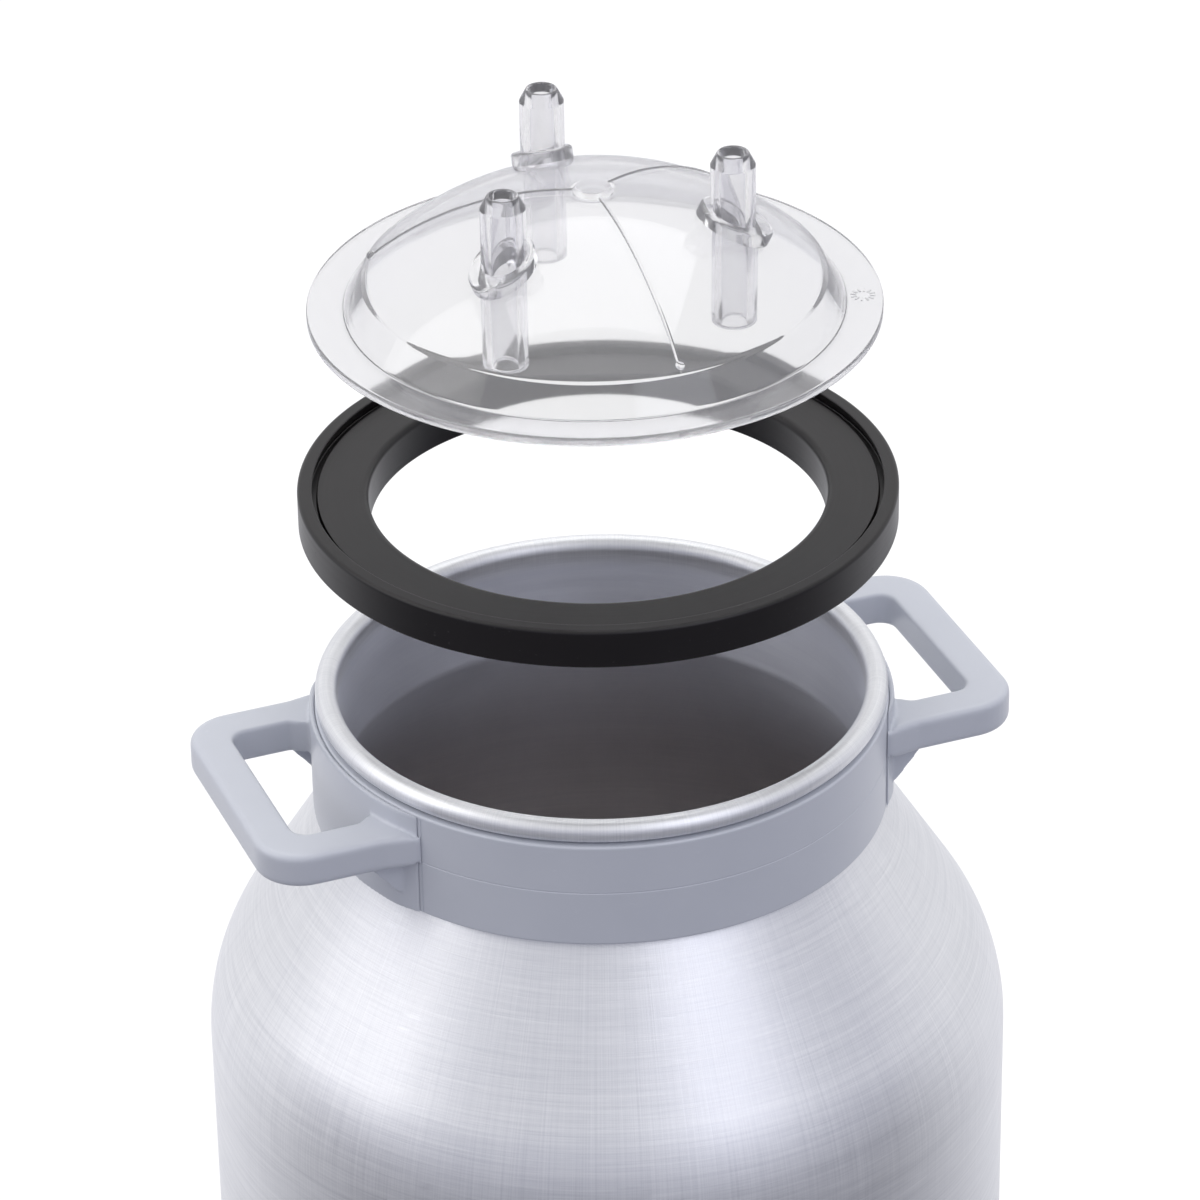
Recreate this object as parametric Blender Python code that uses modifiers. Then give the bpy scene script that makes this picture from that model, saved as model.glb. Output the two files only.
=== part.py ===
"""A milking bucket: a spun aluminium can with a plastic neck collar and two loop handles, a rubber
gasket and a clear domed lid with three tubes. The gasket and the lid hang above the can, lifted
straight off it. Units are metres, +Z is up, the can stands on z = 0 and the handles lie along X."""

import math

import bmesh
import bpy
from mathutils import Matrix, Vector

MM = 0.001
GAP = 0.3 * MM
TURN_STEPS = 48
TUBE_STEPS = 16

# The can
CAN_HEIGHT = 440 * MM
CAN_RADIUS = 145.4 * MM
CAN_WALL = 2 * MM
CAN_BOTTOM = 6 * MM
BOTTOM_CORNER_RADIUS = 22 * MM
SHOULDER_Z = CAN_HEIGHT - 123 * MM
SHOULDER_ROUNDING = 75 * MM
NECK_RADIUS = 96 * MM
NECK_FOOT_Z = CAN_HEIGHT - 44 * MM
BEAD_RADIUS = 4 * MM
BEAD_CENTRE = (NECK_RADIUS - CAN_WALL + BEAD_RADIUS, CAN_HEIGHT - BEAD_RADIUS)

# The plastic ring under the can
BASE_RING_RADIUS = 145 * MM
BASE_RING_INNER_RADIUS = 117 * MM
BASE_RING_HEIGHT = 14 * MM
BASE_RING_CHAMFER = 1.5 * MM

# The plastic collar round the neck
COLLAR_RADIUS = 102.3 * MM
COLLAR_TOP = CAN_HEIGHT - 2 * BEAD_RADIUS - GAP
COLLAR_BOTTOM = CAN_HEIGHT - 48.2 * MM
COLLAR_EDGE = 0.5 * MM

# The handles
SADDLE_THICKNESS = 1.9 * MM
SADDLE_HALF_ANGLE = math.radians(31)
GRIP_OUTER = 142.5 * MM
GRIP_INNER = 128 * MM
LEG_OUTER = 51 * MM
LEG_INNER = 36.5 * MM
LEG_FLARE = 4 * MM
LEG_OUTER_FLARE = 2 * MM
GRIP_OUTER_CORNER = 17 * MM
GRIP_INNER_CORNER = 6 * MM
HANDLE_TOP = CAN_HEIGHT - 15.5 * MM
HANDLE_THICKNESS = 13 * MM
HANDLE_EDGE = 2 * MM
GUSSET_THICKNESS = 5 * MM
GUSSET_REACH = 12 * MM
GUSSET_DROP = 13 * MM
GUSSET_BITE = 1 * MM

# The gasket, with z counted from the top of the can's bead when it is seated
GASKET_LIFT = 68 * MM
GASKET_RADIUS = 105 * MM
GASKET_BORE = 80 * MM
GASKET_LIP_INNER = 99.6 * MM
GASKET_LIP_TOP = 11 * MM
GASKET_SEAT = 8.5 * MM
GASKET_OUTER_DROP = 3 * MM
GASKET_PLUG_DROP = 6 * MM
GASKET_EDGE = 1 * MM
GASKET_PLAY = 0.5 * MM

# The lid, with z counted from the underside of its flange
LID_LIFT = 69.5 * MM
LID_RADIUS = 99 * MM
LID_THICKNESS = 3 * MM
LID_EDGE = 0.6 * MM
LID_STEP_RADIUS = 86.5 * MM
DOME_FOOT_RADIUS = 80 * MM
DOME_FOOT_Z = 13 * MM
DOME_HEIGHT = 32 * MM
HUB_RADIUS = 7 * MM
HUB_HEIGHT = 1.5 * MM

# The lid's tubes and the oval bosses that they pass through
TUBE_COUNT = 3
TUBE_RADIUS = 7.75 * MM
TUBE_BORE = 4.3 * MM
TUBE_TOP = 62 * MM
TUBE_BOTTOM = -2 * MM
TUBE_CHAMFER = 4.5 * MM
TUBE_TIP_RADIUS = 5.4 * MM
TUBE_CIRCLE = 48 * MM
TUBE_FIRST_ANGLE = math.radians(90)
BOSS_ACROSS = 10.5 * MM
BOSS_ALONG = 13.5 * MM
BOSS_HEIGHT = 4 * MM
BOSS_DEPTH = 2 * MM
BOSS_BORE = TUBE_RADIUS + 0.4 * MM
BORE_CUT_LENGTH = 60 * MM

LID_Z = CAN_HEIGHT + GASKET_LIFT + GASKET_SEAT + GAP + LID_LIFT


def clear_scene():
    for obj in list(bpy.data.objects):
        bpy.data.objects.remove(obj, do_unlink=True)


def new_collection(name):
    collection = bpy.data.collections.new(name)
    bpy.context.scene.collection.children.link(collection)
    return collection


def new_material(name, colour, roughness, metallic=0.0, alpha=1.0):
    material = bpy.data.materials.new(name)
    material.use_nodes = True
    shader = material.node_tree.nodes["Principled BSDF"]
    shader.inputs["Base Color"].default_value = (*colour, 1.0)
    shader.inputs["Roughness"].default_value = roughness
    shader.inputs["Metallic"].default_value = metallic
    shader.inputs["Alpha"].default_value = alpha
    return material


def arc(centre, radius, start, end, steps):
    """Points on a circle from the start angle to the end angle, both in degrees."""
    angles = [math.radians(start + (end - start) * i / steps) for i in range(steps + 1)]
    return [(centre[0] + radius * math.cos(a), centre[1] + radius * math.sin(a)) for a in angles]


def rounded(corners, steps=4):
    """The outline through (x, y, radius) corners, with an arc of that radius at each."""
    outline = []
    for i, (x, y, radius) in enumerate(corners):
        if not radius:
            outline.append((x, y))
            continue
        here = Vector((x, y))
        before = (Vector(corners[i - 1][:2]) - here).normalized()
        after = (Vector(corners[(i + 1) % len(corners)][:2]) - here).normalized()
        half = before.angle(after) / 2
        centre = here + (before + after).normalized() * (radius / math.sin(half))
        first = here + before * (radius / math.tan(half)) - centre
        last = here + after * (radius / math.tan(half)) - centre
        sweep = first.angle_signed(last)
        for k in range(steps + 1):
            point = centre + Matrix.Rotation(-sweep * k / steps, 2) @ first
            outline.append(tuple(point))
    return outline


def offset_path(points, distance):
    """An open path moved to its left by the distance, keeping its stretches parallel."""
    moved = []
    for i, here in enumerate(points):
        before = Vector(points[max(i - 1, 0)])
        after = Vector(points[min(i + 1, len(points) - 1)])
        here = Vector(here)
        into = (here - before).normalized() if i else (after - here).normalized()
        out = (after - here).normalized() if i < len(points) - 1 else into
        normal = Vector((-into.y - out.y, into.x + out.x)).normalized()
        stretch = normal.dot(Vector((-into.y, into.x)))
        moved.append(tuple(here + normal * (distance / stretch)))
    return moved


def add_object(name, data, collection, material=None):
    obj = bpy.data.objects.new(name, data)
    collection.objects.link(obj)
    if material:
        data.materials.append(material)
    return obj


def turned(name, profile, collection, material, closed=True, steps=TURN_STEPS):
    """A turned solid from (radius, z) points that run down its outer side."""
    mesh = bpy.data.meshes.new(name)
    edges = [(i, i + 1) for i in range(len(profile) - 1)]
    if closed:
        edges.append((len(profile) - 1, 0))
    mesh.from_pydata([(r, 0, z) for r, z in profile], edges, [])
    obj = add_object(name, mesh, collection, material)
    screw = obj.modifiers.new("turn", "SCREW")
    screw.steps = steps
    screw.render_steps = steps
    screw.use_merge_vertices = True
    screw.merge_threshold = 0.00001
    screw.use_smooth_shade = True
    return obj


def extruded(name, outline, thickness, collection, material=None, edge=0.0):
    """A flat outline as a mesh, centred on z = 0, with its rims rounded by edge."""
    curve = bpy.data.curves.new(name, "CURVE")
    curve.dimensions = "2D"
    curve.fill_mode = "BOTH"
    curve.extrude = thickness / 2 - edge
    curve.bevel_depth = edge
    curve.bevel_resolution = 1
    curve.offset = -edge
    spline = curve.splines.new("POLY")
    spline.points.add(len(outline) - 1)
    for point, (x, y) in zip(spline.points, outline):
        point.co = (x, y, 0, 1)
    spline.use_cyclic_u = True
    guide = add_object(name + "_outline", curve, collection)
    bpy.context.view_layer.update()
    graph = bpy.context.evaluated_depsgraph_get()
    mesh = bpy.data.meshes.new_from_object(guide.evaluated_get(graph))
    bpy.data.objects.remove(guide)
    shape = bmesh.new()
    shape.from_mesh(mesh)
    bmesh.ops.remove_doubles(shape, verts=shape.verts, dist=0.000001)
    bmesh.ops.recalc_face_normals(shape, faces=shape.faces)
    shape.to_mesh(mesh)
    shape.free()
    mesh.name = name
    return add_object(name, mesh, collection, material)


def as_cutter(obj):
    obj.hide_render = True
    obj.display_type = "WIRE"
    return obj


def combine(obj, other, operation):
    boolean = obj.modifiers.new(f"{operation.lower()}_{other.name}", "BOOLEAN")
    boolean.operation = operation
    boolean.solver = "EXACT"
    boolean.object = other


def shoulder_line():
    """The can's outer wall from the neck's foot down to the straight side, as (radius, z)."""
    corners = [
        (NECK_RADIUS, NECK_FOOT_Z, 0),
        (CAN_RADIUS, SHOULDER_Z, SHOULDER_ROUNDING),
        (CAN_RADIUS, SHOULDER_Z - SHOULDER_ROUNDING, 0),
    ]
    return rounded(corners, steps=5)[:-1]


def can_wall_line():
    """The can's outer wall from under the bead down to the middle of its bottom."""
    corner = (CAN_RADIUS - BOTTOM_CORNER_RADIUS, CAN_BOTTOM + BOTTOM_CORNER_RADIUS)
    return [
        (NECK_RADIUS, CAN_HEIGHT - 2 * BEAD_RADIUS),
        *shoulder_line(),
        *arc(corner, BOTTOM_CORNER_RADIUS, 0, -90, 4),
        (0, CAN_BOTTOM),
    ]


def make_can(collection, material):
    outer = can_wall_line()
    inner = offset_path(outer, -CAN_WALL)
    inner[0] = (inner[0][0], BEAD_CENTRE[1])
    bead = arc(BEAD_CENTRE, BEAD_RADIUS, 180, -120, 10)
    return turned("can_shell", inner[::-1] + bead[1:] + outer[1:], collection, material, closed=False)


def make_base_ring(collection, material):
    corner = (CAN_RADIUS - BOTTOM_CORNER_RADIUS, CAN_BOTTOM + BOTTOM_CORNER_RADIUS)
    radius = BOTTOM_CORNER_RADIUS + GAP
    reach = math.degrees(math.asin((corner[1] - BASE_RING_HEIGHT) / radius))
    profile = [
        (BASE_RING_RADIUS, BASE_RING_HEIGHT),
        (BASE_RING_RADIUS, BASE_RING_CHAMFER),
        (BASE_RING_RADIUS - BASE_RING_CHAMFER, 0),
        (BASE_RING_INNER_RADIUS, 0),
        (BASE_RING_INNER_RADIUS, CAN_BOTTOM - GAP),
        *arc(corner, radius, -90, -reach, 4),
    ]
    return turned("base_ring", profile, collection, material)


def make_collar(collection, material):
    neck = offset_path(shoulder_line()[:2], GAP)
    slope = (neck[1][0] - neck[0][0]) / (neck[1][1] - neck[0][1])
    foot_radius = neck[0][0] + slope * (COLLAR_BOTTOM - neck[0][1])
    inner_radius = NECK_RADIUS + GAP
    knee_z = neck[0][1] + (inner_radius - neck[0][0]) / slope
    profile = [
        (COLLAR_RADIUS - COLLAR_EDGE, COLLAR_TOP),
        (COLLAR_RADIUS, COLLAR_TOP - COLLAR_EDGE),
        (COLLAR_RADIUS, COLLAR_BOTTOM),
        (foot_radius, COLLAR_BOTTOM),
        (inner_radius, knee_z),
        (inner_radius, COLLAR_TOP),
    ]
    return turned("neck_collar", profile, collection, material)


def saddle_outline():
    half = math.degrees(SADDLE_HALF_ANGLE)
    inner = COLLAR_RADIUS + GAP
    outer = inner + SADDLE_THICKNESS
    return arc((0, 0), outer, -half, half, 12) + arc((0, 0), inner, half, -half, 12)


def loop_outline():
    """The handle's U, with its two roots inside the saddle."""
    root_radius = COLLAR_RADIUS + GAP + 0.7 * SADDLE_THICKNESS

    def root(y):
        return (math.sqrt(root_radius**2 - y**2), y, 0)

    flare_x = root(LEG_INNER)[0] + LEG_FLARE
    outer = [(flare_x, LEG_OUTER, 10 * MM), (GRIP_OUTER, LEG_OUTER, GRIP_OUTER_CORNER)]
    inner = [(GRIP_INNER, LEG_INNER, GRIP_INNER_CORNER), (flare_x + LEG_FLARE, LEG_INNER, LEG_FLARE)]
    half = [root(LEG_OUTER + LEG_OUTER_FLARE), *outer]
    back = [*inner, root(LEG_INNER - LEG_FLARE)]
    mirrored = [(x, -y, radius) for x, y, radius in reversed(half)]
    mirrored_back = [(x, -y, radius) for x, y, radius in reversed(back)]
    return rounded(half + mirrored + mirrored_back + back)


def gusset_outline():
    middle = (LEG_OUTER + LEG_INNER) / 2
    root = math.sqrt((COLLAR_RADIUS + GAP + SADDLE_THICKNESS / 2) ** 2 - middle**2)
    under = HANDLE_TOP - HANDLE_THICKNESS
    return [
        (root, under + GUSSET_BITE),
        (root, under - GUSSET_DROP),
        (root + GUSSET_BITE, under - GUSSET_DROP),
        (root + GUSSET_REACH, under),
        (root + GUSSET_REACH, under + GUSSET_BITE),
    ]


def make_handle(name, side, collection, cutters, material):
    """One loop handle: a curved saddle on the collar, the loop, and a gusset under each leg."""
    saddle = extruded(name, saddle_outline(), COLLAR_TOP - COLLAR_BOTTOM, collection, material)
    saddle.data.transform(Matrix.Translation((0, 0, (COLLAR_TOP + COLLAR_BOTTOM) / 2)))
    loop = extruded(name + "_loop", loop_outline(), HANDLE_THICKNESS, cutters, edge=HANDLE_EDGE)
    loop.data.transform(Matrix.Translation((0, 0, HANDLE_TOP - HANDLE_THICKNESS / 2)))
    combine(saddle, as_cutter(loop), "UNION")
    for index, sign in enumerate((1, -1)):
        gusset = extruded(f"{name}_gusset_{index + 1}", gusset_outline(), GUSSET_THICKNESS, cutters)
        gusset.data.transform(Matrix.Rotation(math.pi / 2, 4, "X"))
        gusset.data.transform(Matrix.Translation((0, sign * (LEG_OUTER + LEG_INNER) / 2, 0)))
        combine(saddle, as_cutter(gusset), "UNION")
    for obj in [saddle] + [modifier.object for modifier in saddle.modifiers]:
        if side < 0:
            obj.data.transform(Matrix.Rotation(math.pi, 4, "Z"))
    return saddle


def make_gasket(collection, material):
    z = CAN_HEIGHT + GASKET_LIFT
    groove_outer = BEAD_CENTRE[0] + BEAD_RADIUS + GASKET_PLAY
    plug_radius = NECK_RADIUS - CAN_WALL - GASKET_PLAY
    edge = GASKET_EDGE
    profile = [
        (GASKET_LIP_INNER, z + GASKET_LIP_TOP),
        (GASKET_RADIUS - edge, z + GASKET_LIP_TOP),
        (GASKET_RADIUS, z + GASKET_LIP_TOP - edge),
        (GASKET_RADIUS, z - GASKET_OUTER_DROP),
        (groove_outer, z - GASKET_OUTER_DROP),
        (groove_outer, z + GAP),
        (plug_radius, z + GAP),
        (plug_radius, z - GASKET_PLUG_DROP + edge),
        (plug_radius - edge, z - GASKET_PLUG_DROP),
        (GASKET_BORE, z - GASKET_PLUG_DROP),
        (GASKET_BORE, z + GASKET_SEAT - 2 * edge),
        (GASKET_BORE + 2 * edge, z + GASKET_SEAT),
        (GASKET_LIP_INNER, z + GASKET_SEAT),
    ]
    return turned("gasket", profile, collection, material)


def dome_sphere():
    """(radius, centre z) of the dome's outer sphere."""
    radius = (DOME_FOOT_RADIUS**2 + DOME_HEIGHT**2) / (2 * DOME_HEIGHT)
    return radius, LID_Z + DOME_FOOT_Z + DOME_HEIGHT - radius


def dome_line(radius, centre_z, foot_radius, top_radius, steps):
    """Points down a dome from top_radius to foot_radius."""
    first = math.asin(top_radius / radius)
    last = math.asin(foot_radius / radius)
    angles = [first + (last - first) * i / steps for i in range(steps + 1)]
    return [(radius * math.sin(a), centre_z + radius * math.cos(a)) for a in angles]


def make_lid(collection, cutters, material):
    radius, centre_z = dome_sphere()
    hub_z = centre_z + radius + HUB_HEIGHT
    outer = [
        (0, hub_z),
        (HUB_RADIUS - HUB_HEIGHT, hub_z),
        *dome_line(radius, centre_z, DOME_FOOT_RADIUS - LID_EDGE, HUB_RADIUS, 7),
        (DOME_FOOT_RADIUS, LID_Z + DOME_FOOT_Z - LID_EDGE),
        (LID_STEP_RADIUS, LID_Z + LID_THICKNESS),
        (LID_RADIUS - LID_EDGE, LID_Z + LID_THICKNESS),
        (LID_RADIUS, LID_Z + LID_THICKNESS - LID_EDGE),
        (LID_RADIUS, LID_Z),
        (LID_STEP_RADIUS - LID_THICKNESS, LID_Z),
    ]
    inner = dome_line(radius - LID_THICKNESS, centre_z, DOME_FOOT_RADIUS - LID_THICKNESS, 0, 7)[::-1]
    lid = turned("lid_dome", outer + inner, collection, material, closed=False)
    for index in range(TUBE_COUNT):
        combine(lid, make_boss(index, radius, centre_z, cutters), "UNION")
    for index in range(TUBE_COUNT):
        combine(lid, make_bore_cutter(index, cutters), "DIFFERENCE")
    return lid


def cylinder(name, radius, depth, steps, collection):
    bpy.ops.mesh.primitive_cylinder_add(vertices=steps, radius=radius, depth=depth)
    obj = bpy.context.object
    obj.name = name
    for other in list(obj.users_collection):
        other.objects.unlink(obj)
    collection.objects.link(obj)
    return obj


def tube_angle(index):
    return TUBE_FIRST_ANGLE + index * math.tau / TUBE_COUNT


def tube_centre(index):
    angle = tube_angle(index)
    return TUBE_CIRCLE * math.cos(angle), TUBE_CIRCLE * math.sin(angle)


def make_boss(index, radius, centre_z, cutters):
    """An oval disc that lies on the dome where a tube passes through it."""
    boss = cylinder(f"boss_{index + 1}", 1, BOSS_HEIGHT + BOSS_DEPTH, 24, cutters)
    lean = math.asin(TUBE_CIRCLE / radius)
    stretch = Matrix.Diagonal((BOSS_ALONG, BOSS_ACROSS, 1, 1))
    lift = Matrix.Translation((0, 0, radius + (BOSS_HEIGHT - BOSS_DEPTH) / 2))
    lean_out = Matrix.Rotation(lean, 4, "Y")
    place = Matrix.Translation((0, 0, centre_z)) @ Matrix.Rotation(tube_angle(index), 4, "Z")
    boss.data.transform(place @ lean_out @ lift @ stretch)
    return as_cutter(boss)


def make_bore_cutter(index, cutters):
    bore = cylinder(f"boss_bore_{index + 1}", BOSS_BORE, BORE_CUT_LENGTH, TUBE_STEPS, cutters)
    bore.data.transform(Matrix.Translation((*tube_centre(index), LID_Z + DOME_FOOT_Z + DOME_HEIGHT / 2)))
    return as_cutter(bore)


def make_tube(index, collection, material):
    """One straight clear tube through the dome, open at both ends, chamfered at its top."""
    profile = [
        (TUBE_BORE, LID_Z + TUBE_TOP),
        (TUBE_TIP_RADIUS, LID_Z + TUBE_TOP),
        (TUBE_RADIUS, LID_Z + TUBE_TOP - TUBE_CHAMFER),
        (TUBE_RADIUS, LID_Z + TUBE_BOTTOM),
        (TUBE_BORE, LID_Z + TUBE_BOTTOM),
    ]
    tube = turned(f"lid_tube_{index + 1}", profile, collection, material, steps=TUBE_STEPS)
    tube.location = (*tube_centre(index), 0)
    return tube


def main():
    clear_scene()
    bucket = new_collection("milking_bucket")
    cutters = new_collection("cutters")
    aluminium = new_material("spun_aluminium", (0.78, 0.79, 0.81), 0.32, metallic=1.0)
    plastic = new_material("grey_plastic", (0.55, 0.58, 0.64), 0.35)
    rubber = new_material("black_rubber", (0.03, 0.028, 0.03), 0.45)
    clear = new_material("clear_plastic", (0.93, 0.93, 0.96), 0.05, alpha=0.3)
    make_can(bucket, aluminium)
    make_base_ring(bucket, plastic)
    make_collar(bucket, plastic)
    make_handle("handle_right", 1, bucket, cutters, plastic)
    make_handle("handle_left", -1, bucket, cutters, plastic)
    make_gasket(bucket, rubber)
    make_lid(bucket, cutters, clear)
    for index in range(TUBE_COUNT):
        make_tube(index, bucket, clear)


main()
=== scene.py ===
"""The finished look of a milking bucket: a spun aluminium can with a plastic neck collar and two loop
handles, and above it a rubber gasket and a clear domed lid with three tubes, both lifted off.
Units are metres, +Z is up, the can stands on z = 0 and the handles lie along X."""

import math

import bmesh
import bpy
from mathutils import Matrix, Vector


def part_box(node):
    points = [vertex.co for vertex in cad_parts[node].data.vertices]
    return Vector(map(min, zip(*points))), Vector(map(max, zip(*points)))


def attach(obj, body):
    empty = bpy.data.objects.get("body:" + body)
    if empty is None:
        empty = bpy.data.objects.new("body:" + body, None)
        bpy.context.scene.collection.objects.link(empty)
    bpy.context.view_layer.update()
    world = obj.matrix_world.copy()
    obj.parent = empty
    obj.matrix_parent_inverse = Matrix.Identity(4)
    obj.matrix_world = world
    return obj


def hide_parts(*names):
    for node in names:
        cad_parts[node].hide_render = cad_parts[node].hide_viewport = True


MM = 0.001
TAU = math.tau
WELD = 0.001 * MM

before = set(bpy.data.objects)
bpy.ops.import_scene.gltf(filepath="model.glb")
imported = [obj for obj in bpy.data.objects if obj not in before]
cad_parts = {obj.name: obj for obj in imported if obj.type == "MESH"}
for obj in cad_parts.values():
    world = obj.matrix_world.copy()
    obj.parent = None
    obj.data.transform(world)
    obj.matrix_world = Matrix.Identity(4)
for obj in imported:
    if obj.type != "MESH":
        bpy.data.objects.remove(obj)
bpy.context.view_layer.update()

# Heights that every piece is placed from
CAN_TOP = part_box("can_shell")[1].z
COLLAR_BOTTOM, COLLAR_TOP = (corner.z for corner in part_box("neck_collar"))
GASKET_BOTTOM, GASKET_TOP = (corner.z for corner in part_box("gasket"))
LID_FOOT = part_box("lid_dome")[0].z
TUBE_BOTTOM, TUBE_TOP = (corner.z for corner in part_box("lid_tube_1"))

# The can
CAN_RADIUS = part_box("can_shell")[1].x
CAN_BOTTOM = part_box("can_shell")[0].z
CAN_WALL = 2 * MM
CAN_CORNER = 22 * MM
SHOULDER_Z = CAN_TOP - 123 * MM
SHOULDER_ROUNDING = 75 * MM
NECK_RADIUS = 96 * MM
NECK_FOOT_Z = CAN_TOP - 44 * MM
NECK_BEND = 5 * MM
BEAD_RADIUS = 4 * MM
BEAD_START, BEAD_END = 180, -120
GAP = 0.3 * MM

# The ring under the can
RING_RADIUS = 145 * MM
RING_INNER = 117 * MM
RING_HEIGHT = 14 * MM

# The collar and the handles
COLLAR_RADIUS = 102.3 * MM
SEAM_Z = CAN_TOP - 27 * MM
SEAM_DEPTH = 0.18 * MM
SEAM_HALF_WIDTH = 0.35 * MM
SADDLE_THICKNESS = 1.9 * MM
SADDLE_EDGE = 0.45 * MM
SADDLE_GAP = 0.06 * MM
SADDLE_HALF_ANGLE = 31
SADDLE_TAPER = 7
SADDLE_STEPS = 60
SADDLE_ROUNDING = 0.2 * MM
GRIP_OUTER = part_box("handle_right")[1].x
GRIP_INNER = GRIP_OUTER - 14.5 * MM
LEG_OUTER = 51 * MM
LEG_INNER = 36.5 * MM
LEG_FLARE = 4 * MM
ROOT_FLARE = 2 * MM
HANDLE_TOP = CAN_TOP - 15.5 * MM
HANDLE_THICKNESS = 13 * MM
HANDLE_ROUNDING = 2.5 * MM
WINDOW_ROUNDING = 1.3 * MM
GUSSET_THICKNESS = 5 * MM
GUSSET_REACH = 12 * MM
GUSSET_DROP = 13 * MM
HANDLE_GRAIN = 0.7 * MM

# The gasket
GASKET_RADIUS = 105 * MM
GASKET_BORE = 80 * MM
GASKET_SEAT = GASKET_TOP - 2.5 * MM
LIP_INNER = 99.6 * MM
GROOVE_INNER = 98.1 * MM
GROOVE_OUTER = 101.2 * MM
GROOVE_FLOOR = GASKET_SEAT - 2 * MM
PLUG_DEPTH = 6 * MM
SKIRT_DEPTH = 3 * MM
BEAD_EASE = 0.5 * MM

# The lid
LID_RADIUS = 99 * MM
LID_THICKNESS = 3 * MM
STEP_RADIUS = 86.5 * MM
DOME_EDGE = 80 * MM
DOME_FOOT = LID_FOOT + 13 * MM
DOME_HEIGHT = 32 * MM
DOME_RADIUS = (DOME_EDGE**2 + DOME_HEIGHT**2) / (2 * DOME_HEIGHT)
DOME_CENTRE = DOME_FOOT + DOME_HEIGHT - DOME_RADIUS
HUB_RADIUS = 7 * MM
HUB_HEIGHT = 1.5 * MM
RIB_COUNT = 3
RIB_FIRST = math.radians(30)
RIB_START = HUB_RADIUS - 2 * MM
RIB_END = DOME_EDGE - 2.5 * MM
RIB_WIDTH = 1.1 * MM
RIB_HEIGHT = 0.7 * MM
RIB_NUB = 1.7 * MM
MARK_RADIUS = 92 * MM
MARK_ANGLE = math.radians(-21)
TICK_COUNT = 12
TICK_RING_RADIUS = 3.4 * MM
TICK_LENGTH = 1.9 * MM
TICK_WIDTH = 0.5 * MM
TICK_HEIGHT = 0.6 * MM

# The lid's tubes and their bosses
TUBE_RADIUS = 7.75 * MM
TUBE_BORE = 4.3 * MM
TUBE_CHAMFER = 4.5 * MM
TUBE_TIP = 5.4 * MM
TUBE_CIRCLE = 48 * MM
TUBE_ANGLES = [math.radians(90 + 120 * i) for i in range(3)]
BOSS_ALONG = 13.5 * MM
BOSS_ACROSS = 10.5 * MM
BOSS_HEIGHT = 4 * MM
BOSS_DEPTH = 2 * MM
BOSS_ROUNDING = 0.13
BOSS_FIT = 0.05 * MM

# How many steps a section is turned in
CAN_STEPS = 256
RING_STEPS = 240
LID_STEPS = 192
TUBE_STEPS = 72
BOSS_STEPS = 64
DOME_STEPS = 44

# How long straight stretches are divided, and how long they are before they are
SUPPORT_NEAR = 0.4 * MM
SUPPORT_SPAN = 12 * MM
CAN_SPAN = 25 * MM
SUPPORT_FROM = 8

# Colours, most as the two ends that a finish varies between
METAL_OUTSIDE = (0.74, 0.75, 0.78), (0.95, 0.955, 0.97)
METAL_INSIDE = (0.81, 0.825, 0.90), (0.88, 0.895, 0.95)
# The inside's colour low in the can, darker and warmer: painted shade for the dimmer light down there
METAL_DEEP_PAINTED_SHADE = (0.64, 0.60, 0.60), (0.75, 0.705, 0.70)
GREY_PLASTIC = (0.545, 0.567, 0.622), (0.590, 0.610, 0.665)
PLASTIC_SCUFFS = (0.68, 0.70, 0.75)
RUBBER = (0.003, 0.002, 0.0025), (0.0078, 0.0058, 0.0066)
RUBBER_DUST = (0.13, 0.12, 0.12)
LID_PLASTIC = (0.925, 0.925, 0.93), (0.95, 0.95, 0.95)
TUBE_PLASTIC = (0.95, 0.947, 0.965), (0.975, 0.972, 0.98)
CLEAR_EDGE = (0.85, 0.84, 0.925)
# The floor as the metal mirrors it, darker in front of the can and lighter behind: painted light on the
# floor
FLOOR_MIRRORED_PAINTED_LIGHT = (0.20, 0.20, 0.22), (0.80, 0.80, 0.82)
WALLS = (0.53, 0.54, 0.65), (0.92, 0.92, 0.94)
CEILING = (0.86, 0.86, 0.87)
WHITE = (1.0, 1.0, 1.0)

# How clear each plastic is
LID_CLEARNESS = 0.88
TUBE_CLEARNESS = 0.92
CLEAR_IOR = 1.49

# The pitch of the metal's marks: noise cells in a metre along its section
FINE_PITCH = 1500
RING_PITCH = 640
BAND_PITCH = 70
SCRATCH_PITCH = 300

# The floor
FLOOR_RADIUS = 12
FLOOR_SIDES = 64
FLOOR_GLOW = 1.15
FLOOR_GLOW_SHARE = 0.55

# The camera and the lights, with angles in degrees counted as the camera's own
CAMERA_AIM = (0, 0, CAN_TOP + 29.9 * MM)
CAMERA_AZIMUTH = -21
CAMERA_ELEVATION = 30.4
CAMERA_DISTANCE = 2.118
CAMERA_ROLL = -1.0
LENS = 180
SENSOR = 36
VIEW_LIMIT = 50

# Each softbox: name, azimuth, elevation, distance, size, power and colour
SOFTBOXES = [
    ("left_softbox", -82, 34, 1.9, (1.6, 1.8), 8.5, (1.0, 0.985, 0.955)),
    ("right_softbox", 38, 38, 2.0, (1.1, 1.6), 5.2, (0.87, 0.885, 1.0)),
    ("top_softbox", 180, 72, 1.8, (1.6, 1.6), 9, WHITE),
]


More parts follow.
